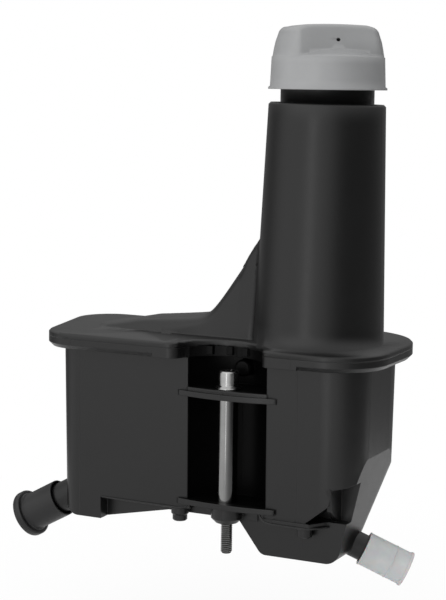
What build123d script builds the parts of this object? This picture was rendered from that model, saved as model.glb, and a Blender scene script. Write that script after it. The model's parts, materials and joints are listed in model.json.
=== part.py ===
from build123d import *
import os
from math import cos, radians, sin, sqrt, tan

os.makedirs("parts", exist_ok=True)

# Moulded walls and the gaps between pieces
WALL = 2.6
RUNNING_GAP = 0.35
SEAT_GAP = 0.05
FAR = 300.0

# Tank in plan, measured from the mounting screw's axis
TANK_LEFT = 95.9
TANK_RIGHT = 72.4
TANK_FRONT = 6.0
LEFT_DEPTH = 63.9
RIGHT_DEPTH = 79.9
LEFT_SLANT = 12.0
STEP_START = 15.0
STEP_LENGTH = 21.0
LEFT_CORNER_R = 11.4
FRONT_CORNER_R = 19.4
BACK_CORNER_R = 33.4
STEP_R = 20.0
WALL_DRAFT = 0.8

# Tank heights above the boss underside
WELD_Z = 89.6
LEDGE_THICK = 5.3
LEDGE_EDGE = 2.2
LEDGE_FLAT = (-36.5, 43.5)
COVER_THICK = 3.0
OVERHANG = 8.6
FLOOR_Z = 5.4
FOOT_DEPTH = 11.7
FOOT_LENGTH = 24.0
FOOT_CORNER_R = 9.0
FOOT_IN = 1.1
UNDER_RISE_END = 33.0
UNDER_Z = 1.5
UNDER_SETBACK = 8.5

# Corner pocket at the front right, with the plate that carries the right peg
POCKET_RIGHT_IN = 27.3
POCKET_DEPTH = 16.0
PLATE_RISE = 0.5
PLATE_LENGTH = 17.0
PLATE_OVER = 3.0
PLATE_SLANT = 7.0
POCKET_SLOPE = (12.7, 10.3)
POCKET_STEP = (14.1, 18.6)
POCKET_ROOF = (20.9, 19.9)
POCKET_ROOF_RISE = 0.43
RIB_X = 11.5
RIB_THICK = 2.4
RIB_FRONT_IN = 1.0
RIB_KINK = (3.0, 7.0)

# Hopper and sump under the right half
HOPPER_Z = 38.0
HOPPER_RIGHT_IN = 12.8
HOPPER_BACK_IN = 34.8
HOPPER_CORNER_R = 18.0
SUMP_DEPTH = 21.2
SUMP_LEFT = 18.0
SUMP_LEFT_SLOPE = 37.5
SUMP_SETBACK = 9.5
SUMP_LEFT_R = 5.0
SUMP_RIGHT_R = 8.0

# Screw channel in the front wall and the two webs across it
CHANNEL_R = 22.1
CHANNEL_X = 1.8
WEB_BULGE = 4.2
WEB_REACH = 5.6
WEB_THICK = 2.8
WEB_PAD = 1.8
WEB_PAD_IN = 5.0
WEB_PAD_BULGE = 2.1
LOWER_WEB_Z = 8.0
LOWER_WEB_BULGE = 2.9
BOSS_R = 8.2
BOSS_EDGE = 2.4

# Bite in the weld flange over the screw, its three tabs and the knob behind the head
NOTCH_R = 24.0
NOTCH_Y = 16.0
NOTCH_CORNER_R = 6.0
TAB_X = (-12.5, -2.8, 6.0)
TAB_WIDTH = 3.2
TAB_REACH = 1.6
TAB_HEIGHT = 4.2
KNOB_R = 4.4
KNOB_X = 2.9
KNOB_REACH = 8.0
KNOB_DOWN = 11.1
KNOB_EDGE = 1.0

# Mounting screw, its head and its spacer sleeve
THREAD_R = 3.0
THREAD_LENGTH = 16.3
SHANK_R = 2.65
SLEEVE_R = 5.0
SLEEVE_BORE_R = 3.3
SLEEVE_LENGTH = 69.3
HEAD_R = 5.15
HEAD_HEIGHT = 9.3
HEAD_FLANGE_R = 6.8
HEAD_FLANGE_THICK = 1.6
SOCKET_FLATS = 5.0
SOCKET_DEPTH = 3.5
THREAD_EDGE = 0.7
HEAD_EDGE = 0.6

# Locating pegs
PEG_R = 3.85
PEG_END_Z = -2.4
PEG_EDGE = 0.6
PEG_PAD_R = 4.6
PEG_PAD = 0.9
LEFT_PEG_X = 27.0
RIGHT_PEG_X = 43.5
PEG_Y = 0.0

# Filler neck
NECK_BASE_R = 33.4
NECK_BASE_X = 36.6
NECK_BASE_Y = 29.0
NECK_TOP_R = 29.5
NECK_TOP_Z = 213.7
CAP_X = 38.3
CAP_Y = 30.0
NECK_EDGE = 1.1
NECK_FLARE = 1.5
COLLAR_R = 23.6
COLLAR_BORE_R = 19.6
COLLAR_HEIGHT = 16.6
COVER_EDGE = 0.9

# Coarse thread between neck and cap
THREAD_PITCH = 5.0
THREAD_RIDGE = 1.5
THREAD_ROOT = 0.4
THREAD_BASE = 2.2
THREAD_TIP = 1.0
THREAD_TURNS = 1.2
THREAD_START = 9.4
CAP_THREAD_START = 1.6
CREST_GAP = 0.5

# Filler cap
SKIRT_R = 29.0
SKIRT_TOP_R = 28.4
SKIRT_Z = 220.5
SKIRT_HEIGHT = 13.9
RIM_LIP = 0.9
RIM_HEIGHT = 1.5
RIM_FLAT = 0.9
SHOULDER_R = 14.4
SHOULDER_RISE = 4.7
GRIP_TOP_Z = 253.4
GRIP_IN = 0.4
GRIP_HALF_DEPTH = 18.0
GRIP_DRAFT = 10.8
GRIP_CORNER_R = 6.0
GRIP_EDGE_R = 3.0
GRIP_CROWN = 1.8
GRIP_TURN = 40.0
VENT_R = 1.1
VENT_Z = 243.0
CAP_WALL = 2.2
CEILING_SEAT = 3.2
SEAL_THICK = 2.0
INSERT_THICK = 1.5
INSERT_PLUG_DEPTH = 6.0
INSERT_PLUG_R = 18.6
INSERT_STEM_R = 6.5
INSERT_STEM_DEPTH = 14.0

# Dipstick
DIPSTICK_WIDTH = 6.0
DIPSTICK_THICK = 2.0
DIPSTICK_LENGTH = 118.0
PADDLE_WIDTH = 10.0
PADDLE_LENGTH = 34.0
PADDLE_EDGE = 3.0
LEVEL_MARKS = (0.3, 0.7)
MARK_WIDTH = 1.0
MARK_DEPTH = 0.4

# Fairing that runs from the neck down to the left end of the cover
FAIRING_FRONT = 15.5
FAIRING_BACK = 51.0
FAIRING_LEFT = 94.0
FAIRING_END_R = 14.0
FAIRING_DRAFT = 9.0
FAIRING_TOE_SLOPE = 3.4
FAIRING_SLOPE = 58.8
FAIRING_BEND_X = -34.5
FAIRING_BEND_RISE = 4.1
FAIRING_BEND_R = 48.0
FAIRING_CREST_R = 8.0
FAIRING_WALL = 4.4
FAIRING_INNER_X = 10.0
FAIRING_BLEND_R = 4.0
BLEND_SEAM = (5.9, 19.0, 114.9)

# Hose spigots and their shipping caps
SUCTION_R = 8.2
SUCTION_BORE_R = 5.8
SUCTION_TILT = 29.0
SUCTION_Y = 12.0
SUCTION_OUT = 9.7
SUCTION_Z = -2.8
SUCTION_ROOT = 13.0
SUCTION_STUB = 21.0
SUCTION_PLUG_LENGTH = 25.5
SUCTION_PLUG_R = 10.1
SUCTION_RING_R = 12.8
SUCTION_RING_THICK = 4.6
RETURN_R = 6.9
RETURN_BORE_R = 4.7
RETURN_TILT = 25.0
RETURN_TURN = 20.0
RETURN_IN = 8.5
RETURN_Y = 30.0
RETURN_Z = -12.6
RETURN_ROOT = 15.6
RETURN_STUB = 20.0
RETURN_CAP_LENGTH = 24.5
RETURN_CAP_R = 8.75
RETURN_RING_R = 9.3
RETURN_RING_THICK = 1.2
RETURN_CAP_END = 1.4
SHIPPING_CAP_EDGE = 0.4
SPIGOT_BEAD = 0.5
BEAD_FROM_END = 4.5
BEAD_WIDTH = 1.0
SPIGOT_NOSE = 1.0
SPIGOT_BORE_DEPTH = 21.0

# Strainer over the sump
STRAINER_LEFT = 8.0
STRAINER_THICK = 2.4
STRAINER_RIM = 3.0
MESH_IN = 1.0
STRAINER_RIB = 1.4
STRAINER_MESH_THICK = 0.5
STRAINER_RIBS = 3

# Derived levels
front_y = -TANK_FRONT
left_back_y = front_y + LEFT_DEPTH
right_back_y = front_y + RIGHT_DEPTH
ledge_z = WELD_Z - LEDGE_THICK
cover_z = WELD_Z + COVER_THICK
foot_z = FLOOR_Z - FOOT_DEPTH
sump_z = FLOOR_Z - SUMP_DEPTH
floor_top = FLOOR_Z + WALL
under_y = front_y + UNDER_SETBACK
sump_y = front_y + SUMP_SETBACK
collar_top = NECK_TOP_Z + COLLAR_HEIGHT
web_top = SLEEVE_LENGTH - WEB_PAD
slant = tan(radians(LEFT_SLANT))
pocket_x = TANK_RIGHT - POCKET_RIGHT_IN
pocket_y = front_y + POCKET_DEPTH
plate_z = FLOOR_Z + PLATE_RISE


def slab(z_low, z_high, y_low=-FAR, y_high=FAR, x_low=-FAR, x_high=FAR):
    """A block between two levels, as wide as it needs to be."""
    box = Box(x_high - x_low, y_high - y_low, z_high - z_low)
    return Pos((x_low + x_high) / 2, (y_low + y_high) / 2, (z_low + z_high) / 2) * box


def prism_y(points, y_low, y_high):
    """A solid with the given outline seen from the front, between two depths."""
    outline = make_face(Polyline(*[(x, 0, z) for x, z in points], close=True))
    return Pos(0, y_low, 0) * extrude(outline, amount=y_high - y_low, dir=(0, 1, 0))


def tank_outline(grow=0.0):
    """Plan outline of the tank wall, grown outwards evenly."""
    corners = [
        (-TANK_LEFT, front_y),
        (TANK_RIGHT, front_y),
        (TANK_RIGHT, right_back_y),
        (STEP_LENGTH - STEP_START, right_back_y),
        (-STEP_START, left_back_y),
        (-TANK_LEFT - LEFT_DEPTH * slant, left_back_y),
    ]
    radii = [LEFT_CORNER_R, FRONT_CORNER_R, BACK_CORNER_R, STEP_R, STEP_R, LEFT_CORNER_R]
    face = make_face(Polyline(*corners, close=True))
    for corner, radius in zip(corners, radii):
        near = face.vertices().sort_by_distance((corner[0], corner[1], 0))[0]
        face = fillet(near, radius)
    if grow:
        face = offset(face, grow)
    return face


def flange_outline():
    """Plan outline of the weld flange, with the rounded corners of its bite for the screw."""
    face = tank_outline(OVERHANG) - Pos(0, -NOTCH_Y) * Circle(NOTCH_R)
    edge_y = front_y - OVERHANG
    reach = sqrt(NOTCH_R ** 2 - (edge_y + NOTCH_Y) ** 2)
    corners = [face.vertices().sort_by_distance((x, edge_y, 0))[0] for x in (-reach, reach)]
    return fillet(corners, NOTCH_CORNER_R)


def drop(face, z_top, depth, taper=0.0):
    """Pushes a plan outline downwards from a level, with draft."""
    return extrude(Pos(0, 0, z_top) * face, amount=depth, dir=(0, 0, -1), taper=taper)


def hopper(inset=0.0):
    """The sloping right and back walls under the hopper level and the sump's bottom, as one big body."""
    draft_in = (WELD_Z - HOPPER_Z) * tan(radians(WALL_DRAFT))
    low = sump_z + inset
    right = TANK_RIGHT - inset
    back = right_back_y - inset
    side = [(-FAR, sump_z), (right - HOPPER_RIGHT_IN, sump_z), (right - draft_in, HOPPER_Z), (-FAR, HOPPER_Z)]
    rear = [(-FAR, sump_z), (back - HOPPER_BACK_IN, sump_z), (back - draft_in, HOPPER_Z), (-FAR, HOPPER_Z)]
    rear_face = make_face(Polyline(*[(0, y, z) for y, z in rear], close=True))
    body = prism_y(side, -FAR, FAR) & (Pos(-FAR, 0, 0) * extrude(rear_face, amount=2 * FAR, dir=(1, 0, 0)))
    body &= slab(low, HOPPER_Z)
    corner = body.edges().sort_by_distance((right, back, (low + HOPPER_Z) / 2))[0]
    body = fillet(corner, HOPPER_CORNER_R - inset)
    foot = body.edges().sort_by_distance((right - HOPPER_RIGHT_IN, front_y, low))[0]
    return fillet(foot, SUMP_RIGHT_R - inset)


def walls(inset, z_bottom):
    """Drafted tank walls down to a level, with the hopper's slopes."""
    body = drop(tank_outline(-inset), WELD_Z, WELD_Z - z_bottom, WALL_DRAFT)
    return body - (slab(sump_z, HOPPER_Z) - hopper(inset))


def channel(grow, z_low, z_high):
    """The half round channel that the mounting screw stands in."""
    round_part = Pos(CHANNEL_X, front_y, 0) * Cylinder(CHANNEL_R + grow, z_high - z_low)
    return Pos(0, 0, (z_low + z_high) / 2) * round_part


def web(z_low, thick, bulge, reach):
    """A lens shaped web across the channel, bulging before the front wall."""
    half = CHANNEL_R + reach
    edge = ThreePointArc(
        (CHANNEL_X - half, front_y), (CHANNEL_X, front_y - bulge), (CHANNEL_X + half, front_y)
    )
    lens = make_face([edge, Line(edge @ 1, edge @ 0)])
    plate = extrude(Pos(0, 0, z_low) * lens, amount=thick)
    return plate + (channel(0.0, z_low, z_low + thick) & slab(z_low, z_low + thick, y_low=front_y))


def thread_ridge(radius, outward, z_start, turn=0.0):
    """A helical ridge round the cap's axis: outward is 1 on a neck and -1 in a cap."""
    path = Helix(THREAD_PITCH, THREAD_PITCH * THREAD_TURNS, radius)
    root = radius - outward * THREAD_ROOT
    tip = radius + outward * THREAD_RIDGE
    profile = Polyline(
        (root, 0, -THREAD_BASE / 2),
        (tip, 0, -THREAD_TIP / 2),
        (tip, 0, THREAD_TIP / 2),
        (root, 0, THREAD_BASE / 2),
        close=True,
    )
    ridge = sweep(make_face(profile), path=path, is_frenet=True)
    return Pos(CAP_X, CAP_Y, z_start) * Rot(0, 0, turn) * ridge


def spigot_place(x, y, z, turn, tilt):
    """Frame of a spigot: its Z axis runs out along the spigot."""
    a, t = radians(turn), radians(tilt)
    out = Vector(cos(t) * cos(a), cos(t) * sin(a), -sin(t))
    return Plane(origin=(x, y, z), x_dir=(-sin(a), cos(a), 0), z_dir=out)


def hose_spigot(radius, stub, root):
    """A plain hose tail with a retaining bead and a rounded mouth."""
    bead = radius + SPIGOT_BEAD
    bead_end = stub - BEAD_FROM_END
    outline = Polyline(
        (0, -root),
        (radius, -root),
        (radius, bead_end - 2 * BEAD_WIDTH),
        (bead, bead_end - BEAD_WIDTH),
        (bead, bead_end),
        (radius, stub - SPIGOT_NOSE),
        (radius - SPIGOT_NOSE, stub),
        (0, stub),
        close=True,
    )
    return revolve(Plane.XZ * make_face(outline), Axis.Z)


def spigot_bore(radius, stub):
    """The passage through a spigot, from inside the tank to past its mouth."""
    length = stub + SPIGOT_BORE_DEPTH + SPIGOT_NOSE
    return Pos(0, 0, stub + SPIGOT_NOSE - length / 2) * Cylinder(radius, length)


def under_floor(inset, y_low, y_high):
    """Foot at the left end and the floor rising from it, square to the slanted left wall."""
    left = -TANK_LEFT + FOOT_IN + inset
    low = foot_z + inset
    points = [
        (left, floor_top),
        (left, low),
        (left + FOOT_LENGTH, low),
        (-UNDER_RISE_END, UNDER_Z + inset),
        (SUMP_LEFT, UNDER_Z + inset),
        (SUMP_LEFT, floor_top),
    ]
    face = make_face(Polyline(*[(x * cos(radians(LEFT_SLANT)), 0, z) for x, z in points], close=True))
    near = face.vertices().sort_by_distance((left * cos(radians(LEFT_SLANT)), 0, low))[0]
    face = fillet(near, FOOT_CORNER_R - inset)
    body = extrude(face, amount=FAR, dir=(0, 1, 0), both=True)
    return Pos(0, front_y, 0) * Rot(0, 0, LEFT_SLANT) * body & slab(-FAR, FAR, y_low=y_low, y_high=y_high)


def sump(inset=0.0):
    """The sump from its front wall backwards, open to the right where the hopper closes it."""
    lean = tan(radians(SUMP_LEFT_SLOPE))
    low = sump_z + inset
    left = SUMP_LEFT + inset
    points = [(left - (floor_top - low) * lean, floor_top), (left, low), (TANK_RIGHT, low), (TANK_RIGHT, floor_top)]
    face = make_face(Polyline(*[(x, 0, z) for x, z in points], close=True))
    near = face.vertices().sort_by_distance((left, 0, low))[0]
    return Pos(0, sump_y + inset, 0) * extrude(fillet(near, SUMP_LEFT_R), amount=RIGHT_DEPTH, dir=(0, 1, 0))


def pocket(grow):
    """Corner pocket cut under the front right of the shell, with a stepped roof."""
    left = pocket_x - grow
    base = FLOOR_Z + grow
    roof_x, roof_z = POCKET_ROOF
    points = [
        (left, sump_z),
        (left, base),
        (left + POCKET_SLOPE[0], base + POCKET_SLOPE[1]),
        (left + POCKET_STEP[0], base + POCKET_STEP[1]),
        (pocket_x + roof_x, base + roof_z),
        (FAR, base + roof_z + (FAR - pocket_x - roof_x) * POCKET_ROOF_RISE),
        (FAR, sump_z),
    ]
    return prism_y(points, front_y - OVERHANG, pocket_y + grow)


def pin(radius, z_low, z_high, edge):
    """An upright round pin with a chamfered lower end."""
    body = Pos(0, 0, (z_low + z_high) / 2) * Cylinder(radius, z_high - z_low)
    return chamfer(body.edges().sort_by(Axis.Z)[0], edge)


# Lower tank: walls, floor, foot and sump as one outer body less one cavity
outer_under = under_floor(0.0, under_y, right_back_y)
foot = under_floor(0.0, front_y, under_y) & slab(foot_z, floor_top, x_high=-TANK_LEFT + FOOT_LENGTH)
shell = walls(0.0, sump_z) & (slab(FLOOR_Z, WELD_Z) + outer_under + foot + sump())
shell -= pocket(0.0) - slab(sump_z, plate_z, y_low=sump_y)
peg_plate = extrude(
    Pos(0, 0, plate_z - WALL)
    * make_face(
        Polyline(
            (pocket_x - PLATE_LENGTH, front_y),
            (pocket_x + PLATE_OVER, front_y),
            (pocket_x + PLATE_OVER + PLATE_SLANT, sump_y + WALL / 2),
            (pocket_x - PLATE_LENGTH, sump_y + WALL / 2),
            close=True,
        )
    ),
    amount=WALL,
)
rib_points = [
    (front_y + RIB_FRONT_IN, POCKET_STEP[1]),
    (front_y + RIB_KINK[0], RIB_KINK[1]),
    (sump_y + RIB_KINK[0], 0.0),
    (pocket_y + WALL / 2, 0.0),
    (pocket_y + WALL / 2, POCKET_STEP[1]),
]
pocket_rib = Pos(pocket_x + RIB_X, 0, plate_z) * extrude(
    make_face(Polyline(*[(0, y, z) for y, z in rib_points], close=True)), amount=RIB_THICK, dir=(1, 0, 0)
)
ledge = drop(flange_outline(), WELD_Z, LEDGE_THICK)
flat_front = ledge & slab(ledge_z, WELD_Z, y_high=front_y, x_low=LEDGE_FLAT[0], x_high=LEDGE_FLAT[1])
ledge = chamfer(ledge.faces().sort_by(Axis.Z)[0].edges(), LEDGE_EDGE)
shell += ledge + flat_front

cavity = walls(WALL, sump_z + WALL) & (
    slab(floor_top, WELD_Z)
    + under_floor(WALL, under_y + WALL, right_back_y)
    + sump(WALL)
)
cavity -= channel(WALL, sump_z, WELD_Z)
cavity -= pocket(WALL) - slab(sump_z, plate_z - WALL, y_low=sump_y + WALL)

suction_frame = spigot_place(-TANK_LEFT - SUCTION_OUT, SUCTION_Y, SUCTION_Z, 180, SUCTION_TILT)
return_frame = spigot_place(TANK_RIGHT - RETURN_IN, RETURN_Y, RETURN_Z, RETURN_TURN, RETURN_TILT)
shell += suction_frame * hose_spigot(SUCTION_R, SUCTION_STUB, SUCTION_ROOT)
shell += return_frame * hose_spigot(RETURN_R, RETURN_STUB, RETURN_ROOT)
shell -= cavity
shell -= suction_frame * spigot_bore(SUCTION_BORE_R, SUCTION_STUB)
shell -= return_frame * spigot_bore(RETURN_BORE_R, RETURN_STUB)
shell -= channel(0.0, LOWER_WEB_Z, ledge_z)
cut_half = CHANNEL_R - WALL / 2
shell -= slab(-FAR, LOWER_WEB_Z, -FAR, under_y, CHANNEL_X - cut_half, CHANNEL_X + cut_half) - foot
shell += web(LOWER_WEB_Z, WEB_THICK, LOWER_WEB_BULGE, WEB_REACH)
shell += web(web_top - WEB_THICK, WEB_THICK, WEB_BULGE, WEB_REACH)
shell += web(web_top, WEB_PAD, WEB_PAD_BULGE, WEB_REACH - WEB_PAD_IN)
shell += pin(BOSS_R, 0.0, LOWER_WEB_Z, BOSS_EDGE)
shell += peg_plate + pocket_rib
shell += Pos(-LEFT_PEG_X, PEG_Y, 0) * pin(PEG_PAD_R, UNDER_Z - PEG_PAD, floor_top, PEG_PAD)
for peg_x in (-LEFT_PEG_X, RIGHT_PEG_X):
    shell += Pos(peg_x, PEG_Y, 0) * pin(PEG_R, PEG_END_Z, FLOOR_Z, PEG_EDGE)
shell -= Pos(0, 0, SLEEVE_LENGTH / 2) * Cylinder(SLEEVE_R + SEAT_GAP, SLEEVE_LENGTH + WALL)


def notch(z_low, z_high):
    """Round bite out of the flange that lets the mounting screw drop in from above."""
    return Pos(0, -NOTCH_Y, (z_low + z_high) / 2) * Cylinder(NOTCH_R, z_high - z_low)


shell -= notch(ledge_z, WELD_Z)
for tab_x in TAB_X:
    tab_y = sqrt(NOTCH_R ** 2 - tab_x ** 2) - NOTCH_Y
    shell += Pos(tab_x, tab_y, WELD_Z - TAB_HEIGHT / 2) * Box(TAB_WIDTH, 2 * TAB_REACH, TAB_HEIGHT)
knob_back = front_y + CHANNEL_R + WALL / 2
knob = Cylinder(KNOB_R, KNOB_REACH)
knob = chamfer(knob.edges().sort_by(Axis.Z)[-1], KNOB_EDGE)
shell += Pos(KNOB_X, knob_back - KNOB_REACH / 2, WELD_Z - KNOB_DOWN) * Rot(90, 0, 0) * knob
lower_tank = shell


def fairing(inset=0.0):
    """Drafted wedge that rises from the left end of the cover into the neck, with a rounded crest."""
    base = WELD_Z - FAIRING_CREST_R - COVER_THICK
    spread = (cover_z - base) * tan(radians(FAIRING_DRAFT)) - inset
    x_mid = (CAP_X - FAIRING_LEFT) / 2
    y_mid = (FAIRING_FRONT + FAIRING_BACK) / 2
    length = CAP_X + FAIRING_LEFT + 2 * spread
    width = FAIRING_BACK - FAIRING_FRONT + 2 * spread
    plan = Pos(x_mid, y_mid, base) * RectangleRounded(length, width, FAIRING_END_R)
    wedge = extrude(plan, amount=NECK_BASE_R * 2, taper=FAIRING_DRAFT)
    toe = tan(radians(FAIRING_TOE_SLOPE))
    steep = tan(radians(FAIRING_SLOPE))
    bend_z = cover_z + FAIRING_BEND_RISE - inset
    points = [
        (-FAR, bend_z - toe * (FAR + FAIRING_BEND_X)),
        (FAIRING_BEND_X, bend_z),
        (FAIRING_INNER_X, bend_z + steep * (FAIRING_INNER_X - FAIRING_BEND_X)),
        (FAIRING_INNER_X, -FAR),
        (-FAR, -FAR),
    ]
    side = make_face(Polyline(*[(x, 0, z) for x, z in points], close=True))
    bend = side.vertices().sort_by_distance((FAIRING_BEND_X, 0, bend_z))[0]
    side = fillet(bend, FAIRING_BEND_R + inset)
    body = wedge & extrude(side, amount=FAR, dir=(0, 1, 0), both=True)
    if inset:
        return body & slab(WELD_Z, FAR)
    upper = [face for face in body.faces() if face.normal_at(face.center()).Z > 0.3]
    crest = []
    for edge in body.edges().filter_by(lambda e: e.center().X < FAIRING_INNER_X - 1):
        if sum(any(edge.is_same(other) for other in face.edges()) for face in upper) == 1:
            crest.append(edge)
    return fillet(crest, FAIRING_CREST_R) & slab(WELD_Z, FAR)


def neck_cone(inset=0.0):
    """The tapering neck, whose axis leans a little from its foot to the cap's centre."""
    foot = Vector(NECK_BASE_X, NECK_BASE_Y, WELD_Z)
    lean = Vector(CAP_X, CAP_Y, NECK_TOP_Z) - foot
    high = lean.length - inset
    cone = Pos(0, 0, high / 2) * Cone(NECK_BASE_R - inset, NECK_TOP_R - inset, high)
    return Plane(origin=foot, z_dir=lean) * cone


# Upper cover: plate, neck, fairing and threaded collar in one moulding
neck = neck_cone() & slab(WELD_Z + COVER_THICK / 2, FAR)
neck = chamfer(neck.edges().sort_by(Axis.Z)[-1], NECK_EDGE)
neck_void = neck_cone(WALL)
plate = drop(flange_outline(), cover_z, COVER_THICK)
plate = chamfer(plate.faces().sort_by(Axis.Z)[-1].edges(), COVER_EDGE)
upper = fairing() + neck
seam = upper.edges().sort_by_distance(BLEND_SEAM)[0]
upper = fillet(seam, FAIRING_BLEND_R)
cover = plate + upper
collar_height = COLLAR_HEIGHT + WALL / 2
collar = Pos(CAP_X, CAP_Y, collar_top - collar_height / 2) * Cylinder(COLLAR_R, collar_height)
collar_bore = Pos(CAP_X, CAP_Y, NECK_TOP_Z) * Cylinder(COLLAR_BORE_R, 3 * COLLAR_HEIGHT)
cover += collar
cover += thread_ridge(COLLAR_R, 1, NECK_TOP_Z + THREAD_START)
opening = (neck_void + fairing(FAIRING_WALL)) - channel(WALL, WELD_Z, cover_z)
opening -= slab(WELD_Z, cover_z) - drop(tank_outline(-WALL), cover_z, COVER_THICK)
cover -= opening + collar_bore
cover -= notch(WELD_Z, cover_z)
upper_cover = cover

# Filler cap: skirt with its flared rim, sloping shoulder and the grip across it
ceiling_z = collar_top + SEAL_THICK + 2 * SEAT_GAP + INSERT_THICK
skirt_top = SKIRT_Z + SKIRT_HEIGHT
bore_r = COLLAR_R + THREAD_RIDGE + CREST_GAP
cap_outline = Polyline(
    (0, SKIRT_Z),
    (SKIRT_R + RIM_LIP, SKIRT_Z),
    (SKIRT_R + RIM_LIP, SKIRT_Z + RIM_FLAT),
    (SKIRT_R, SKIRT_Z + RIM_HEIGHT),
    (SKIRT_TOP_R, skirt_top),
    (SHOULDER_R, skirt_top + SHOULDER_RISE),
    (0, skirt_top + SHOULDER_RISE),
    close=True,
)
cap_body = Pos(CAP_X, CAP_Y, 0) * revolve(Plane.XZ * make_face(cap_outline), Axis.Z)


def grip(z_low, inset=0.0):
    """Drafted grip from a level up: round ends that follow the skirt, flat flanks and a crowned top."""
    radius = SKIRT_TOP_R - GRIP_IN - inset
    plan = Circle(radius) & Rectangle(4 * radius, 2 * (GRIP_HALF_DEPTH - inset))
    plan = fillet(plan.vertices(), GRIP_CORNER_R - inset)
    height = GRIP_TOP_Z - inset - z_low
    body = extrude(plan, amount=height, taper=GRIP_DRAFT)
    if not inset:
        crown_r = (radius ** 2 + GRIP_CROWN ** 2) / (2 * GRIP_CROWN)
        body &= Pos(0, 0, height - crown_r) * Rot(90, 0, 0) * Cylinder(crown_r, 4 * radius)
        top = body.faces().sort_by_distance((0, 0, height))[0]
        body = fillet(top.edges(), GRIP_EDGE_R)
    return Pos(CAP_X, CAP_Y, z_low) * Rot(0, 0, GRIP_TURN) * body


ceiling_hole = Pos(CAP_X, CAP_Y, GRIP_TOP_Z) * Cylinder(bore_r - CEILING_SEAT, 2 * (GRIP_TOP_Z - ceiling_z))
cap_bore = Pos(CAP_X, CAP_Y, (SKIRT_Z + ceiling_z) / 2) * Cylinder(bore_r, ceiling_z - SKIRT_Z)
thread_rise = SKIRT_Z + CAP_THREAD_START - NECK_TOP_Z - THREAD_START + THREAD_PITCH / 2
cap_thread = thread_ridge(bore_r, -1, SKIRT_Z + CAP_THREAD_START, 360.0 * thread_rise / THREAD_PITCH)
vent_axis = Plane(origin=(CAP_X, CAP_Y, VENT_Z), z_dir=(sin(radians(GRIP_TURN)), -cos(radians(GRIP_TURN)), 0))
filler_cap = cap_body + grip(skirt_top) - cap_bore - (grip(ceiling_z, CAP_WALL) & ceiling_hole) + cap_thread
filler_cap -= vent_axis * Pos(0, 0, GRIP_HALF_DEPTH) * Cylinder(VENT_R, 2 * GRIP_HALF_DEPTH)

# Insert under the cap's ceiling: it carries the dipstick and holds the seal down
insert_z = ceiling_z - INSERT_THICK
plug_z = insert_z - INSERT_PLUG_DEPTH
stem_z = insert_z - INSERT_STEM_DEPTH
insert_outline = Polyline(
    (0, stem_z),
    (INSERT_STEM_R, stem_z),
    (INSERT_STEM_R, plug_z),
    (INSERT_PLUG_R, plug_z),
    (INSERT_PLUG_R, insert_z),
    (bore_r - RUNNING_GAP, insert_z),
    (bore_r - RUNNING_GAP, ceiling_z),
    (INSERT_PLUG_R - WALL, ceiling_z),
    (INSERT_PLUG_R - WALL, plug_z + INSERT_THICK),
    (0, plug_z + INSERT_THICK),
    close=True,
)
cap_insert = Pos(CAP_X, CAP_Y, 0) * revolve(Plane.XZ * make_face(insert_outline), Axis.Z)
cap_insert -= Pos(CAP_X, CAP_Y, (plug_z + stem_z) / 2) * Box(
    DIPSTICK_WIDTH + 2 * SEAT_GAP, DIPSTICK_THICK + 2 * SEAT_GAP, plug_z - stem_z
)

# Rubber seal between the insert and the collar's rim
seal = Cylinder(COLLAR_R, SEAL_THICK) - Cylinder(INSERT_PLUG_R + RUNNING_GAP, SEAL_THICK)
cap_seal = Pos(CAP_X, CAP_Y, collar_top + SEAT_GAP + SEAL_THICK / 2) * seal

# Dipstick blade with its wider paddle and the two level steps
blade_half = DIPSTICK_WIDTH / 2
paddle_half = PADDLE_WIDTH / 2
paddle_top = PADDLE_LENGTH - DIPSTICK_LENGTH
blade_side = [
    (blade_half, 0),
    (blade_half, paddle_top),
    (paddle_half, paddle_top - PADDLE_EDGE),
    (paddle_half, PADDLE_EDGE - DIPSTICK_LENGTH),
    (paddle_half - PADDLE_EDGE, -DIPSTICK_LENGTH),
]
blade_points = blade_side + [(-x, z) for x, z in reversed(blade_side)]
blade_y = CAP_Y - DIPSTICK_THICK / 2
dipstick = Pos(CAP_X, 0, plug_z) * prism_y(blade_points, blade_y, blade_y + DIPSTICK_THICK)
for mark in LEVEL_MARKS:
    groove = Pos(CAP_X, blade_y, plug_z - DIPSTICK_LENGTH + PADDLE_LENGTH * mark)
    dipstick -= groove * Box(2 * PADDLE_WIDTH, 2 * MARK_DEPTH, MARK_WIDTH)

# Mounting screw and the spacer sleeve it clamps through
screw_outline = Polyline(
    (0, -THREAD_LENGTH),
    (THREAD_R - THREAD_EDGE, -THREAD_LENGTH),
    (THREAD_R, THREAD_EDGE - THREAD_LENGTH),
    (THREAD_R, 0),
    (SHANK_R, THREAD_R - SHANK_R),
    (SHANK_R, SLEEVE_LENGTH),
    (HEAD_FLANGE_R, SLEEVE_LENGTH),
    (HEAD_FLANGE_R, SLEEVE_LENGTH + HEAD_FLANGE_THICK * 0.5),
    (HEAD_R, SLEEVE_LENGTH + HEAD_FLANGE_THICK),
    (HEAD_R, SLEEVE_LENGTH + HEAD_HEIGHT - HEAD_EDGE),
    (HEAD_R - HEAD_EDGE, SLEEVE_LENGTH + HEAD_HEIGHT),
    (0, SLEEVE_LENGTH + HEAD_HEIGHT),
    close=True,
)
mounting_screw = revolve(Plane.XZ * make_face(screw_outline), Axis.Z)
socket = extrude(RegularPolygon(SOCKET_FLATS / 2, 6, major_radius=False), amount=SOCKET_DEPTH)
mounting_screw -= Pos(0, 0, SLEEVE_LENGTH + HEAD_HEIGHT - SOCKET_DEPTH) * socket
sleeve = Cylinder(SLEEVE_R, SLEEVE_LENGTH) - Cylinder(SLEEVE_BORE_R, SLEEVE_LENGTH)
spacer_sleeve = Pos(0, 0, SLEEVE_LENGTH / 2) * sleeve


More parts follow.
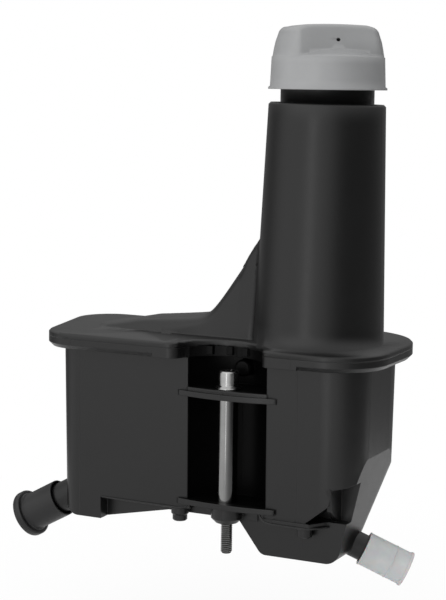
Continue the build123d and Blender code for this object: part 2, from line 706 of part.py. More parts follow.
def closed_cap(bore_r, barrel_r, length, ring_r, ring_thick, end_wall):
    """A shipping cap: open at the tank end, closed at the other, with an end ring."""
    ring = Pos(0, 0, length - ring_thick / 2) * Cylinder(ring_r, ring_thick)
    ring = chamfer(ring.edges().sort_by(Axis.Z)[-1], SHIPPING_CAP_EDGE)
    barrel = Pos(0, 0, length / 2) * Cylinder(barrel_r, length)
    depth = length - end_wall
    return barrel + ring - Pos(0, 0, depth / 2) * Cylinder(bore_r, depth)


suction_plug = suction_frame * closed_cap(
    SUCTION_R + SPIGOT_BEAD + RUNNING_GAP,
    SUCTION_PLUG_R,
    SUCTION_PLUG_LENGTH,
    SUCTION_RING_R,
    SUCTION_RING_THICK,
    WALL,
)
return_cap = return_frame * closed_cap(
    RETURN_R + SPIGOT_BEAD + RUNNING_GAP,
    RETURN_CAP_R,
    RETURN_CAP_LENGTH,
    RETURN_RING_R,
    RETURN_RING_THICK,
    RETURN_CAP_END,
)

def strainer_plate(inset, z_low, z_high):
    """Level plate that fills the right half of the tank less an even margin."""
    margin = WALL + RUNNING_GAP + inset
    plate = walls(margin, z_low) & slab(z_low, z_high, x_low=inset - STRAINER_LEFT)
    return plate - channel(margin, z_low, z_high) - pocket(margin)


# Strainer frame on the tank floor over the sump, and the mesh that it carries
frame_top = floor_top + STRAINER_THICK
windows = strainer_plate(STRAINER_RIM, floor_top, frame_top)
rib_pitch = (TANK_RIGHT + STRAINER_LEFT) / (STRAINER_RIBS + 1)
for rib in range(STRAINER_RIBS):
    rib_x = (rib + 1) * rib_pitch - STRAINER_LEFT
    windows -= slab(floor_top, frame_top, x_low=rib_x - STRAINER_RIB / 2, x_high=rib_x + STRAINER_RIB / 2)
strainer_frame = strainer_plate(0.0, floor_top, frame_top) - windows
strainer_mesh = strainer_plate(MESH_IN, frame_top, frame_top + STRAINER_MESH_THICK)

parts = {
    "lower_tank": lower_tank,
    "upper_cover": upper_cover,
    "filler_cap": filler_cap,
    "cap_insert": cap_insert,
    "cap_seal": cap_seal,
    "dipstick": dipstick,
    "mounting_screw": mounting_screw,
    "spacer_sleeve": spacer_sleeve,
    "suction_plug": suction_plug,
    "return_cap": return_cap,
    "strainer_frame": strainer_frame,
    "strainer_mesh": strainer_mesh,
}
for name, solid in parts.items():
    export_step(solid, "parts/" + name + ".step")
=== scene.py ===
import json
from bisect import bisect
from math import atan2, cos, pi, radians, sin, sqrt, tan, tau

import bmesh
import bpy
from mathutils import Matrix, Vector


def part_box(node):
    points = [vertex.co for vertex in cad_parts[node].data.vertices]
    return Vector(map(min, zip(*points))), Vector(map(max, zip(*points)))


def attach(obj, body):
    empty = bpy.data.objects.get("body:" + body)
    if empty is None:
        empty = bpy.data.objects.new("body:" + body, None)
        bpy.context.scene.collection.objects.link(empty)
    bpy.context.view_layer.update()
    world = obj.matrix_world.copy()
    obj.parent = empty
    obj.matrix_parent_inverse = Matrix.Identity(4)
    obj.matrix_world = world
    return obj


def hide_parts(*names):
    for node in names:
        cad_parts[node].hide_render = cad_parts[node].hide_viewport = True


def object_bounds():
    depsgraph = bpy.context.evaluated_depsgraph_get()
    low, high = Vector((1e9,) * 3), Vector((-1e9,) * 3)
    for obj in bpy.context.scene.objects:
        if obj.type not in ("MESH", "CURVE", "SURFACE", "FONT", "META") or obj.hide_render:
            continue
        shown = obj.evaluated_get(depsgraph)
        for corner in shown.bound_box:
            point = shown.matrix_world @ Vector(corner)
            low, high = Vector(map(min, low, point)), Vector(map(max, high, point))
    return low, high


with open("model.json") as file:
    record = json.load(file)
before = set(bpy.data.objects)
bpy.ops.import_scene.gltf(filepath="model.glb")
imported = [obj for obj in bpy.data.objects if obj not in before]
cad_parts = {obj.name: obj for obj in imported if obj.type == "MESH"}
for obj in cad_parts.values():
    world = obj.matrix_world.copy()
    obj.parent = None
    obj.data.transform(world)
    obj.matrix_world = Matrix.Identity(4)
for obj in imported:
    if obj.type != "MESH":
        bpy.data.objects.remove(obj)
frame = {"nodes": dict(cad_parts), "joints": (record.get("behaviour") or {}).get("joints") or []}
cad_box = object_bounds()
MM = 0.001


# Lower tank. The real piece is one moulding of black glass filled nylon with a fine satin grain,
# and it carries the screw channel, the webs, the pegs and both hose spigots.
class Wire:
    """An output of a tree's nodes. Adding, subtracting or multiplying it adds a Math node."""

    def __init__(self, owner, socket):
        self.owner = owner
        self.socket = socket

    def join(self, operation, left, right):
        return self.owner.node("Math", {"operation": operation}, {0: left, 1: right})

    def __add__(self, other):
        return self.join("ADD", self, other)

    def __radd__(self, other):
        return self.join("ADD", other, self)

    def __sub__(self, other):
        return self.join("SUBTRACT", self, other)

    def __mul__(self, other):
        return self.join("MULTIPLY", self, other)


class NodeTree:
    """Builds shader nodes one call at a time."""

    def __init__(self, tree):
        self.tree = tree

    def node(self, kind, settings, sockets, output=0):
        """Adds a shader node, sets it up, and feeds its sockets with wires or plain values."""
        node = self.tree.nodes.new("ShaderNode" + kind)
        for setting, value in settings.items():
            setattr(node, setting, value)
        for socket, value in sockets.items():
            self.feed(node.inputs[socket], value)
        return Wire(self, node.outputs[output])

    def feed(self, socket, value):
        if isinstance(value, Wire):
            self.tree.links.new(value.socket, socket)
        else:
            socket.default_value = value

    def ray(self, *kinds):
        """1 for a ray of any of the named kinds, such as Is Camera Ray."""
        path = [self.node("LightPath", {}, {}, kind) for kind in kinds]
        total = path[0]
        for other in path[1:]:
            total = self.node("Math", {"operation": "MAXIMUM"}, {0: total, 1: other})
        return total


class Finish(NodeTree):
    """A material whose surface is described by nodes that read the object's own coordinates."""

    def __init__(self, name, **constants):
        self.material = bpy.data.materials.new(name)
        self.material.use_nodes = True
        super().__init__(self.material.node_tree)
        self.shader = self.tree.nodes["Principled BSDF"]
        for socket, value in constants.items():
            self.shader.inputs[socket.replace("_", " ")].default_value = value
        self.place = self.node("TexCoord", {}, {}, "Object")

    def noise(self, size, detail=3.0, roughness=0.5, place=None):
        """Cloudy pattern from 0 to 1 whose blotches are about size metres across."""
        sockets = {"Vector": place or self.place, "Scale": 1.0 / size}
        sockets |= {"Detail": detail, "Roughness": roughness}
        return self.node("TexNoise", {}, sockets)

    def blend(self, factor, first, second):
        """Colour that goes from first to second."""
        settings = {"data_type": "RGBA"}
        shades = [value if isinstance(value, Wire) else (*value, 1) for value in (first, second)]
        return self.node("Mix", settings, {0: factor, 6: shades[0], 7: shades[1]}, 2)

    def bump(self, height, depth, under=None):
        """Surface relief: a height from 0 to 1 stands for a depth in metres."""
        sockets = {"Height": height, "Distance": depth, "Strength": 1.0}
        if under:
            sockets["Normal"] = under
        return self.node("Bump", {}, sockets)

    def paint(self, **sockets):
        """Feeds the shader's own sockets and returns the finished material."""
        for socket, value in sockets.items():
            self.feed(self.shader.inputs[socket.replace("_", " ")], value)
        return self.material


def moulded_black(name, dark, pale, rough, grain_depth, edge=0.5 * MM, seams=(), painted_shade_round=None):
    """Satin black plastic: fine spark eroded grain, slow flow clouds, soft edges and parting lines.
    A seam is the coordinate that it cuts, 0 to 2, and its place on it in millimetres. A painted shade round
    is
    a point, a radius and a share: in the half cylinder behind and above the point the plastic is mixed, up
    to the share, into a matt shader of its dark colour, as painted shade in that recess."""
    SEAM_WIDTH, SEAM_DEPTH = 0.35 * MM, 0.12 * MM
    finish = Finish(name, IOR=1.5, Specular_IOR_Level=0.4)
    grain = finish.noise(0.45 * MM, 2.0)
    clouds = finish.noise(30 * MM, 3.0)
    scuffs = finish.noise(6 * MM, 4.0, 0.7)
    normal = finish.bump(grain, grain_depth, finish.node("Bevel", {"samples": 4}, {"Radius": edge}))
    for axis, place in seams:
        coordinate = finish.node("SeparateXYZ", {}, {0: finish.place}, axis)
        away = finish.node("Math", {"operation": "ABSOLUTE"}, {0: coordinate - place * MM})
        span = {"Value": away, "From Max": SEAM_WIDTH, "To Min": 1.0, "To Max": 0.0}
        line = finish.node("MapRange", {"interpolation_type": "SMOOTHSTEP"}, span)
        normal = finish.bump(line, SEAM_DEPTH, normal)
    finish.paint(
        Base_Color=finish.blend(clouds * 0.6 + grain * 0.4, dark, pale),
        Roughness=rough + clouds * 0.06 + scuffs * 0.08 + grain * 0.05,
        Normal=normal,
    )
    # Painted shade: a matt shader of the dark colour is mixed in over the given round, to darken a recess.
    if painted_shade_round:
        (x, y, low), radius, strength = painted_shade_round
        shift = {"Vector": finish.place, "Location": (-x * MM, -y * MM, 0), "Scale": (1, 1, 0)}
        spread = finish.node("Mapping", {}, shift)
        away = finish.node("VectorMath", {"operation": "LENGTH"}, {0: spread}, "Value")
        span = {"Value": away, "From Min": (radius + 0.6) * MM, "From Max": (radius + 0.3) * MM}
        shade_mask = finish.node("MapRange", {}, span | {"To Max": strength})
        for axis, start, soft in ((1, y, 2.5), (2, low, 1.0)):
            coordinate = finish.node("SeparateXYZ", {}, {0: finish.place}, axis)
            span = {"Value": coordinate, "From Min": start * MM, "From Max": (start + soft) * MM}
            shade_mask = shade_mask * finish.node("MapRange", {}, span)
        matt = finish.node("BsdfDiffuse", {}, {"Color": (*dark, 1), "Roughness": 0.6})
        satin = Wire(finish, finish.shader.outputs[0])
        surface = finish.node("MixShader", {}, {0: shade_mask, 1: satin, 2: matt})
        finish.feed(finish.tree.nodes["Material Output"].inputs["Surface"], surface)
    return finish.material


TANK_DARK, TANK_PALE = (0.0012, 0.0012, 0.0012), (0.003, 0.003, 0.0031)
TANK_ROUGH, TANK_GRAIN = 0.24, 0.03 * MM
TANK_SEAMS = [(0, 40.5), (0, -84.4), (0, 0.7)]
# Painted shade: the channel's inside is mixed towards a matt shader of the dark colour, so it loses its
# sheen and stays near black, as the shade in the recess.
CHANNEL_SHADE = ((1.8, -6.0, 7.0), 22.1, 0.75)
tank_black = moulded_black(
    "tank_black", TANK_DARK, TANK_PALE, TANK_ROUGH, TANK_GRAIN, 0.7 * MM, TANK_SEAMS, CHANNEL_SHADE
)


def dress(node, material):
    """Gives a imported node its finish."""
    piece = frame["nodes"][node]
    piece.data.materials.clear()
    piece.data.materials.append(material)


dress("lower_tank", tank_black)


# Upper cover. Moulded like the tank and welded to it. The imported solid's fairing starts its rise too
# far from the neck, so a copy of it is sliced across and each slice is lowered to the photographed crest.
def finished(name, mesh, material, body, nodes=(), place=None, smooth=35):
    """Turns a bmesh into a piece of the object that rides on a body and stands for CAD nodes."""
    if place:
        bmesh.ops.transform(mesh, matrix=place, verts=mesh.verts)
    bmesh.ops.recalc_face_normals(mesh, faces=mesh.faces)
    data = bpy.data.meshes.new(name)
    mesh.to_mesh(data)
    mesh.free()
    data.polygons.foreach_set("use_smooth", [True] * len(data.polygons))
    data.set_sharp_from_angle(angle=radians(smooth))
    data.materials.append(material)
    piece = bpy.data.objects.new(name, data)
    bpy.context.scene.collection.objects.link(piece)
    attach(piece, body)
    if nodes:
        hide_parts(*nodes)


PLATE_Z, CREST_Z = 92.6, 145.4
TOE_X, TOE_Z, TOE_SLOPE = -34.5, 100.6, radians(5.5)
STEEP_X, STEEP_SLOPE, BEND_SOFT = 4.2, radians(58.8), 7
# The change of height fades in over the first part of the toe.
FADE_X, FADE_LENGTH = -88, 25
# A slice every 2 mm along the toe and the bend, and every millimetre near the neck.
SLICES = sorted([*range(-92, 6, 2), *range(-7, 4, 2), STEEP_X])


def seen_crest(x):
    """Height of the photographed crest: a toe, a soft bend, a steep rise and a level end at the neck."""
    toe = TOE_Z + tan(TOE_SLOPE) * (x - TOE_X)
    steep = CREST_Z + tan(STEEP_SLOPE) * (x - STEEP_X)
    return min(CREST_Z, (toe + steep + sqrt((toe - steep) ** 2 + BEND_SOFT ** 2)) / 2)


cover_mesh = bmesh.new()
cover_mesh.from_mesh(frame["nodes"]["upper_cover"].data)
bmesh.ops.remove_doubles(cover_mesh, verts=cover_mesh.verts, dist=0.001 * MM)
packed_crest = []
for slice_x in SLICES:
    geometry = cover_mesh.verts[:] + cover_mesh.edges[:] + cover_mesh.faces[:]
    bmesh.ops.bisect_plane(cover_mesh, geom=geometry, plane_co=(slice_x * MM, 0, 0), plane_no=(1, 0, 0))
    across = [vert.co.z / MM for vert in cover_mesh.verts if abs(vert.co.x / MM - slice_x) < 0.01]
    packed_crest.append(max(across))
for vert in cover_mesh.verts:
    x, z = vert.co.x / MM, vert.co.z / MM
    after = min(bisect(SLICES, x), len(SLICES) - 1)
    if z > PLATE_Z and SLICES[0] < x < SLICES[-1]:
        share = (x - SLICES[after - 1]) / (SLICES[after] - SLICES[after - 1])
        packed = packed_crest[after - 1] + share * (packed_crest[after] - packed_crest[after - 1])
        change = (seen_crest(x) - PLATE_Z) / max(1.0, packed - PLATE_Z) - 1
        fade = min(1.0, max(0.0, (x - FADE_X) / FADE_LENGTH))
        vert.co.z = (PLATE_Z + (z - PLATE_Z) * (1 + change * fade)) * MM

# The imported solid's void reaches the level end of its crest, so a slab closes the window that it leaves.
# It follows the crest along X and the crest's rounding along Y, a hair below both.
WINDOW_Y, LEVEL_HALF, CREST_R, SLAB_THICK, HAIR = 33.25, 2.55, 8.0, 1.5, 0.03
HALF_ROW = (2.4, 3.4, 4.4, 5.4, 6.4)
rows = []
for x in (-5.6, *range(-5, 4), STEEP_X, 5.4):
    row = []
    for out in (*(-step for step in reversed(HALF_ROW)), 0, *HALF_ROW):
        drop = CREST_R - sqrt(CREST_R ** 2 - max(0, abs(out) - LEVEL_HALF) ** 2)
        share = (CREST_Z - HAIR - drop - PLATE_Z) / (CREST_Z - PLATE_Z)
        z = PLATE_Z + (seen_crest(x) - PLATE_Z) * share
        row.append(cover_mesh.verts.new((x * MM, (WINDOW_Y + out) * MM, z * MM)))
    rows.append(row)
sheet = []
for near, far in zip(rows, rows[1:]):
    for index in range(len(near) - 1):
        sheet.append(cover_mesh.faces.new((near[index], far[index], far[index + 1], near[index + 1])))
grown = bmesh.ops.extrude_face_region(cover_mesh, geom=sheet, use_keep_orig=True)["geom"]
moved = [item for item in grown if isinstance(item, bmesh.types.BMVert)]
bmesh.ops.translate(cover_mesh, vec=(0, 0, -SLAB_THICK * MM), verts=moved)
cover_black = moulded_black(
    "cover_black", TANK_DARK, TANK_PALE, TANK_ROUGH, TANK_GRAIN, 1.2 * MM, [(1, 30.0)]
)
finished("upper_cover_moulding", cover_mesh, cover_black, "tank", ["upper_cover"])

# Filler cap. Grey injection moulded plastic, a shade smoother than the tank. It is a copy of the packed
# solid with a higher skirt, a lower grip and rounder grip ends, as the photograph shows them.
cap_finish = Finish("cap_grey", IOR=1.5)
cap_grain = cap_finish.noise(0.5 * MM, 2.0)
cap_clouds = cap_finish.noise(18 * MM, 3.0)
cap_soft = cap_finish.node("Bevel", {"samples": 6}, {"Radius": 0.9 * MM})
cap_grey = cap_finish.paint(
    Base_Color=cap_finish.blend(cap_clouds, (0.25, 0.253, 0.256), (0.31, 0.314, 0.318)),
    Roughness=0.28 + cap_clouds * 0.08 + cap_grain * 0.05,
    Normal=cap_finish.bump(cap_grain, 0.02 * MM, cap_soft),
)


def joint(name):
    """The frame's entry of a joint."""
    return next(entry for entry in frame["joints"] if entry["name"] == name)


CAP_AXIS = Vector(joint("cap_turn")["pos_m"]).xy / MM
# Packed and photographed heights: the rim, the skirt's two ends, the shoulder's top and the grip's top.
LEVELS = ((220.5, 220.5), (222.0, 222.1), (234.4, 236.6), (239.1, 242.0), (253.4, 252.7))
ROUND_OUT, ROUND_LOW, ROUND_HIGH, ROUND_SINK = 19, 243, 253.4, 0.055
grey_mesh = bmesh.new()
grey_mesh.from_mesh(frame["nodes"]["filler_cap"].data)
bmesh.ops.remove_doubles(grey_mesh, verts=grey_mesh.verts, dist=0.001 * MM)
for slice_z in (236, 238, 241, 243, 245, 247, 249):
    geometry = grey_mesh.verts[:] + grey_mesh.edges[:] + grey_mesh.faces[:]
    bmesh.ops.bisect_plane(grey_mesh, geom=geometry, plane_co=(0, 0, slice_z * MM), plane_no=(0, 0, 1))
for vert in grey_mesh.verts:
    z = vert.co.z / MM
    for (packed_low, seen_low), (packed_high, seen_high) in zip(LEVELS, LEVELS[1:]):
        if packed_low < z <= packed_high:
            moved = seen_low + (z - packed_low) * (seen_high - seen_low) / (packed_high - packed_low)
            out = max(0.0, (vert.co.xy / MM - CAP_AXIS).length - ROUND_OUT)
            sink = ROUND_SINK * out ** 2 * max(0.0, (z - ROUND_LOW) / (ROUND_HIGH - ROUND_LOW))
            vert.co.z = (moved - sink) * MM
finished("filler_cap_moulding", grey_mesh, cap_grey, "cap", ["filler_cap"])


# Lips. The mould left a thin raised lip along the lower edge of the front wall on both sides of the
# channel, where the deeper underside begins, and it catches the light.
def rod(mesh, path, radius, sides):
    """A round bar along a path of points in millimetres, with closed ends."""
    rings = []
    for index, point in enumerate(path):
        before, after = path[max(0, index - 1)], path[min(len(path) - 1, index + 1)]
        heading = (Vector(after) - Vector(before)).to_track_quat("Z", "Y").to_matrix().to_4x4()
        place = Matrix.Translation(Vector(point) * MM) @ heading
        ring = bmesh.ops.create_circle(mesh, segments=sides, radius=radius * MM, matrix=place)["verts"]
        rings.append([edge for edge in mesh.edges if edge.verts[0] in ring and edge.verts[1] in ring])
    for near, far in zip(rings, rings[1:]):
        bmesh.ops.bridge_loops(mesh, edges=near + far)
    for end in (rings[0], rings[-1]):
        bmesh.ops.edgeloop_fill(mesh, edges=end)


LIP_R, LIP_SIDES = 0.55, 8
LEFT_LIP = (
    (-71.0, -4.9, 5.6), (-60, -5.0, 5.5), (-40, -5.0, 5.4),
    (-26, -5.0, 5.4), (-21.5, -5.0, 6.2), (-19.5, -5.0, 8.0),
)
RIGHT_LIP = (
    (20.6, -5.6, 9.0), (21.6, -5.9, 6.4), (24.0, -6.1, 4.2), (28.2, -6.2, 3.6),
    (38, -6.2, 3.5), (47.6, -6.1, 3.5), (52.0, -2.0, 3.5), (55.0, 3.0, 3.5),
)
lips_mesh = bmesh.new()
rod(lips_mesh, LEFT_LIP, LIP_R, LIP_SIDES)
rod(lips_mesh, RIGHT_LIP, LIP_R, LIP_SIDES)
finished("wall_lips", lips_mesh, tank_black, "tank", smooth=60)

# Insert, dipstick and seal under the cap. Moulded plastic and rubber, duller than the tank, seen only
# when the cap comes off.
insert_plastic = moulded_black("insert_plastic", (0.012, 0.012, 0.012), (0.02, 0.02, 0.02), 0.4, 0.02 * MM)
dress("cap_insert", insert_plastic)
dress("dipstick", insert_plastic)
seal_rubber = moulded_black("seal_rubber", (0.015, 0.015, 0.015), (0.025, 0.025, 0.025), 0.6, 0.02 * MM)
dress("cap_seal", seal_rubber)

# Sleeve. Drawn steel tube cut to length, bright, with fine scratches along it and soft stains. Its right
# flank, deep in the channel, is painted darker as painted shade.
steel = Finish("sleeve_steel", Metallic=1.0)
drawn = steel.node("Mapping", {}, {"Vector": steel.place, "Scale": (2500, 2500, 25)})
streaks = steel.noise(1.0, 4.0, 0.6, drawn)
stains = steel.noise(7 * MM, 3.0)
# Painted shade: the colour darkens towards the tube's right flank.
along_x = steel.node("SeparateXYZ", {}, {0: steel.place})
flank = {"Value": along_x, "From Min": -0.6 * MM, "From Max": 3.6 * MM}
painted_flank_shade = steel.node("MapRange", {"interpolation_type": "SMOOTHSTEP"}, flank)
bare = steel.blend(stains, (0.21, 0.21, 0.21), (0.3, 0.3, 0.295))
sleeve_steel = steel.paint(
    Base_Color=steel.blend(painted_flank_shade, bare, (0.07, 0.07, 0.07)),
    Roughness=0.08 + streaks * 0.1 + stains * 0.05,
    Normal=steel.bump(streaks, 0.01 * MM),
)
dress("spacer_sleeve", sleeve_steel)


# Mounting screw. Cold headed steel with a rolled M6 thread, a domed flange and a hexagon socket, all
# under bright zinc. It stands on the sleeve with its flange and its thread hangs out below the boss.
def lathe(mesh, outline, steps):
    """Turns an open outline of (radius, height) in millimetres round the Z axis."""
    points = [mesh.verts.new((radius * MM, 0, height * MM)) for radius, height in outline]
    edges = [mesh.edges.new(pair) for pair in zip(points, points[1:])]
    bmesh.ops.spin(mesh, geom=points + edges, axis=(0, 0, 1), steps=steps, angle=tau, use_merge=True)
    bmesh.ops.remove_doubles(mesh, verts=mesh.verts, dist=0.001 * MM)


TIP_Z, HEAD_TOP_Z = (corner.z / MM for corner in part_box("mounting_screw"))
SEAT_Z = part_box("spacer_sleeve")[1].z / MM
STEPS, PITCH, TURNS, ROOT_R, THREAD_R = 48, 1.0, 18, 2.42, 2.99
TIP_R, THREAD_TOP_Z, RUN_IN = 2.2, 0.2, 1.2
screw_mesh = bmesh.new()
tooth = [
    (ROOT_R, 0), (ROOT_R, 0.12), (THREAD_R, 0.44), (THREAD_R, 0.56), (ROOT_R, 0.88), (ROOT_R, PITCH)
]
points = [screw_mesh.verts.new((radius * MM, 0, (TIP_Z - RUN_IN + rise) * MM)) for radius, rise in tooth]
edges = [screw_mesh.edges.new(pair) for pair in zip(points, points[1:])]
lead = Vector((0, 0, PITCH * MM / STEPS))
bmesh.ops.spin(
    screw_mesh, geom=points + edges, axis=(0, 0, 1), dvec=lead, steps=STEPS * TURNS, angle=tau * TURNS
)
bmesh.ops.remove_doubles(screw_mesh, verts=screw_mesh.verts, dist=0.005 * MM)
for level, side in ((TIP_Z, -1), (THREAD_TOP_Z, 1)):
    geometry = screw_mesh.verts[:] + screw_mesh.edges[:] + screw_mesh.faces[:]
    cut = bmesh.ops.bisect_plane(
        screw_mesh, geom=geometry, plane_co=(0, 0, level * MM), plane_no=(0, 0, side), clear_outer=True
    )
    rim = [item for item in cut["geom_cut"] if isinstance(item, bmesh.types.BMEdge)]
    bmesh.ops.contextual_create(screw_mesh, geom=rim)
for vert in screw_mesh.verts:
    reach = vert.co.xy.length
    limit = max(0.0, TIP_R * MM + (vert.co.z - TIP_Z * MM))
    if reach > limit:
        vert.co.xy *= limit / reach
SOCKET_HALF, SOCKET_EDGE, SOCKET_DEEP = 2.5, 0.35, 3.5
head = bmesh.new()
lathe(head, [
    (0, 0.1), (2.6, 0.1), (2.65, 0.3), (2.65, SEAT_Z), (6.5, SEAT_Z), (6.75, SEAT_Z + 0.25),
    (6.75, SEAT_Z + 0.6), (6.4, SEAT_Z + 1.05), (5.5, SEAT_Z + 1.45), (5.15, SEAT_Z + 1.9),
    (5.15, HEAD_TOP_Z - 1.0), (5.0, HEAD_TOP_Z - 0.5), (4.7, HEAD_TOP_Z - 0.2), (4.3, HEAD_TOP_Z - 0.05),
    (3.3, HEAD_TOP_Z),
], STEPS)
for drop in (SOCKET_EDGE, SOCKET_DEEP):
    rim = [edge for edge in head.edges if edge.is_boundary]
    grown = bmesh.ops.extrude_edge_only(head, edges=rim)["geom"]
    for vert in [item for item in grown if isinstance(item, bmesh.types.BMVert)]:
        angle = (atan2(vert.co.y, vert.co.x) + pi / 6) % (pi / 3) - pi / 6
        vert.co.xy *= SOCKET_HALF * MM / cos(angle) / vert.co.xy.length
        vert.co.z = (HEAD_TOP_Z - drop) * MM
bmesh.ops.holes_fill(head, edges=[edge for edge in head.edges if edge.is_boundary], sides=0)
head_data = bpy.data.meshes.new("head")
head.to_mesh(head_data)
screw_mesh.from_mesh(head_data)
head.free()
zinc = Finish("screw_zinc", Metallic=1.0)
dull = zinc.noise(2.5 * MM, 3.0)
# Painted shade: within 2.45 mm of the axis, in the thread's roots, the tip and the hexagon socket, the
# colour is near black, and it pales out to the plated colour at the crests at 2.95 mm.
spread = zinc.node("Mapping", {}, {"Vector": zinc.place, "Scale": (1, 1, 0)})
reach = zinc.node("VectorMath", {"operation": "LENGTH"}, {0: spread}, "Value")
depth = {"Value": reach, "From Min": 2.45 * MM, "From Max": 2.95 * MM, "To Min": 0.1, "To Max": 1.0}
painted_root_shade = zinc.node("MapRange", {}, depth)
plated = zinc.blend(dull, (0.25, 0.25, 0.247), (0.42, 0.42, 0.415))
screw_zinc = zinc.paint(
    Base_Color=zinc.blend(painted_root_shade, (0.03, 0.03, 0.03), plated),
    Roughness=0.14 + dull * 0.12,
    Normal=zinc.bump(dull, 0.02 * MM),
)
finished("mounting_screw_threaded", screw_mesh, screw_zinc, "screw", ["mounting_screw"])


# Shipping cap of the left spigot. Soft black plastic, with a rounded collar at its closed end that
# gives the fingers a hold, and a shallow dish in its end face.
def along(origin, slide):
    """Places a lathed piece with its Z axis out along the joint that it slides on."""
    out = Vector(joint(slide)["axis"]).normalized()
    side = Vector((-out.y, out.x, 0)).normalized()
    turn = Matrix((side, out.cross(side), out)).transposed().to_4x4()
    return Matrix.Translation(Vector(origin) * MM) @ turn


ROUND_STEPS = 72
plug_black = moulded_black(
    "plug_black", (0.005, 0.005, 0.0052), (0.01, 0.01, 0.0105), 0.3, 0.01 * MM, 0.4 * MM
)
plug_mesh = bmesh.new()
lathe(plug_mesh, [
    (0, 22.9), (8.6, 22.9), (9.05, 22.4), (9.05, 0.3), (9.3, 0), (9.9, 0), (10.1, 0.25), (10.1, 19.6),
    (10.3, 20.4), (10.9, 20.9), (12.1, 20.95), (12.55, 21.25), (12.78, 21.8), (12.78, 24.4), (12.55, 25.0),
    (11.9, 25.45), (10.6, 25.5), (9.9, 25.1), (9.3, 24.4), (0, 24.3),
], ROUND_STEPS)
suction_place = along((-105.6, 12, -2.8), "suction_plug_pull")
finished(
    "suction_plug_turned", plug_mesh, plug_black,
    "suction_plug", ["suction_plug"], suction_place
)

# Shipping cap of the right spigot. Natural polyethylene, thin enough to let light in, with a rolled
# rim at its mouth, a stiffening ring two thirds along and a flange round its closed end.
natural = Finish("cap_natural", IOR=1.5, Subsurface_Weight=0.35, Subsurface_Scale=0.004)
haze = natural.noise(5 * MM, 3.0)
cap_natural = natural.paint(
    Base_Color=natural.blend(haze, (0.44, 0.445, 0.45), (0.56, 0.565, 0.57)),
    Roughness=0.3 + haze * 0.15,
    Normal=natural.bump(haze, 0.15 * MM, natural.node("Bevel", {"samples": 4}, {"Radius": 0.3 * MM})),
)
cap_mesh = bmesh.new()
lathe(cap_mesh, [
    (0, 23.1), (7.4, 23.1), (7.75, 22.7), (7.75, 0.2), (7.95, 0), (8.75, 0), (8.95, 0.2), (8.95, 0.6),
    (8.72, 0.85), (8.72, 14.9), (8.95, 15.1), (8.95, 15.6), (8.72, 15.8), (8.72, 22.6), (8.9, 22.95),
    (9.2, 23.1), (9.28, 23.3), (9.28, 24.2), (9.1, 24.45), (8.6, 24.5), (8.1, 24.3), (0, 24.15),
], ROUND_STEPS)
return_place = along((63.9, 30, -12.6), "return_cap_pull")
finished(
    "return_cap_ribbed", cap_mesh, cap_natural,
    "return_cap", ["return_cap"], return_place
)

# Strainer inside the tank: a moulded nylon frame and its woven mesh, both natural white and matt.
nylon = Finish("strainer_nylon", IOR=1.5)
weave = nylon.noise(1 * MM)
strainer_nylon = nylon.paint(
    Base_Color=nylon.blend(weave, (0.6, 0.59, 0.55), (0.75, 0.74, 0.7)), Roughness=0.5 + weave * 0.1
)
dress("strainer_frame", strainer_nylon)
dress("strainer_mesh", strainer_nylon)

# Pale floor a little under the object. Most of its white comes from its own glow towards the camera,
# so that it shows as the photograph's white ground and still keeps the object's shadow.
FLOOR_DROP, FLOOR_HALF = 40 * MM, 0.45
GLOW_NEAR, GLOW_FAR, GLOW_LEAST = 0.12, 0.42, 0.9
low, high = cad_box
floor_mesh = bmesh.new()
floor_place = Matrix.Translation((0, 0, low[2] - FLOOR_DROP))
bmesh.ops.create_grid(floor_mesh, x_segments=1, y_segments=1, size=FLOOR_HALF, matrix=floor_place)
floor_data = bpy.data.meshes.new("floor")
floor_mesh.to_mesh(floor_data)
floor_mesh.free()
floor = bpy.data.objects.new("floor", floor_data)
bpy.context.scene.collection.objects.link(floor)
floor_white = Finish("floor_white", Roughness=0.9)
floor_tone = floor_white.blend(floor_white.noise(0.5), (0.86, 0.86, 0.86), (0.88, 0.88, 0.88))
floor_white.paint(Base_Color=floor_tone)
glow = floor_white.node("Emission", {}, {"Color": (1, 1, 1, 1), "Strength": 1.0})
away = floor_white.node("VectorMath", {"operation": "LENGTH"}, {0: floor_white.place}, "Value")
reach = {"Value": away, "From Min": GLOW_NEAR, "From Max": GLOW_FAR, "To Min": GLOW_LEAST, "To Max": 1.0}
share = floor_white.node("MapRange", {}, reach)
lit = Wire(floor_white, floor_white.shader.outputs[0])
surface = floor_white.node("MixShader", {}, {0: floor_white.ray("Is Camera Ray") * share, 1: lit, 2: glow})
floor_white.feed(floor_white.tree.nodes["Material Output"].inputs["Surface"], surface)
floor_data.materials.append(floor_white.material)

# Studio round the object: bright in front of it to the left and above it, and dimmer all round, which
# gives the black plastic its soft bright bands and its dark right front.
world = bpy.data.worlds.new("studio")
bpy.context.scene.world = world
world.use_nodes = True
studio = NodeTree(world.node_tree)
direction = studio.node("TexCoord", {}, {}, "Generated")
ROUND_LEVEL = 0.23
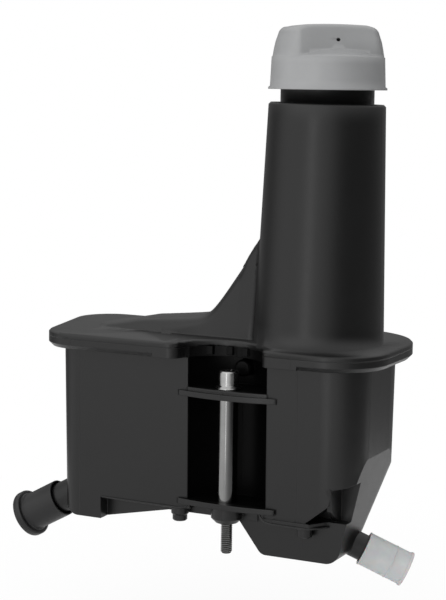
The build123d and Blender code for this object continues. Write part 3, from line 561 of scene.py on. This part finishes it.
# Of each soft light: azimuth, 1 if it is overhead, the cosines between which it fades in, and its strength.
SOFT_LIGHTS = ((-18, 0, 0.2, 0.88, 1.0), (0, 1, 0.2, 0.9, 1.0))
level = ROUND_LEVEL
for azimuth, rise, low_cosine, high_cosine, amount in SOFT_LIGHTS:
    side = (sin(radians(azimuth)) * (1 - rise), -cos(radians(azimuth)) * (1 - rise), rise)
    facing = studio.node("VectorMath", {"operation": "DOT_PRODUCT"}, {0: direction, 1: side}, "Value")
    span = {"Value": facing, "From Min": low_cosine, "From Max": high_cosine, "To Max": amount}
    level = level + studio.node("MapRange", {"interpolation_type": "SMOOTHSTEP"}, span)
plain = studio.ray("Is Camera Ray", "Is Transmission Ray")
background = world.node_tree.nodes["Background"]
studio.feed(background.inputs["Color"], (1, 1, 1, 1))
strength = studio.node("Math", {"operation": "MAXIMUM"}, {0: level, 1: plain})
studio.feed(background.inputs["Strength"], strength)

# Strip light. A tall narrow soft box in front of the object, which faces its middle.
STRIP_PLACE, STRIP_WIDTH, STRIP_HEIGHT, STRIP_POWER = Vector((-0.02, -1.35, 0.2)), 0.1, 1.2, 1.4
strip_data = bpy.data.lights.new("strip", "AREA")
strip_data.shape = "RECTANGLE"
strip_data.size = STRIP_WIDTH
strip_data.size_y = STRIP_HEIGHT
strip_data.energy = STRIP_POWER
strip = bpy.data.objects.new("strip", strip_data)
bpy.context.scene.collection.objects.link(strip)
aim = (Vector(low) + Vector(high)) / 2 - STRIP_PLACE
strip.matrix_world = Matrix.Translation(STRIP_PLACE) @ aim.to_track_quat("-Z", "Y").to_matrix().to_4x4()

# Camera at the photograph's place: 102 mm lens, a little above the tank and turned to its right.
FOCAL, SENSOR = 102, 36
AZIMUTH, DOWN, ROLL = radians(26), radians(7.37), radians(0.8)
EYE = Vector((0.3695, -0.7655, 0.2245))
forward = Vector((-sin(AZIMUTH) * cos(DOWN), cos(AZIMUTH) * cos(DOWN), -sin(DOWN)))
across = Vector((cos(AZIMUTH), sin(AZIMUTH), 0))
upward = across.cross(forward)
right = across * cos(ROLL) + upward * sin(ROLL)
up = upward * cos(ROLL) - across * sin(ROLL)
camera_data = bpy.data.cameras.new("camera")
camera_data.lens = FOCAL
camera_data.sensor_width = SENSOR
camera = bpy.data.objects.new("camera", camera_data)
bpy.context.scene.collection.objects.link(camera)
turn = Matrix((right, up, -forward)).transposed().to_4x4()
camera.matrix_world = Matrix.Translation(EYE) @ turn
bpy.context.scene.camera = camera
bpy.context.scene.view_settings.view_transform = "Standard"
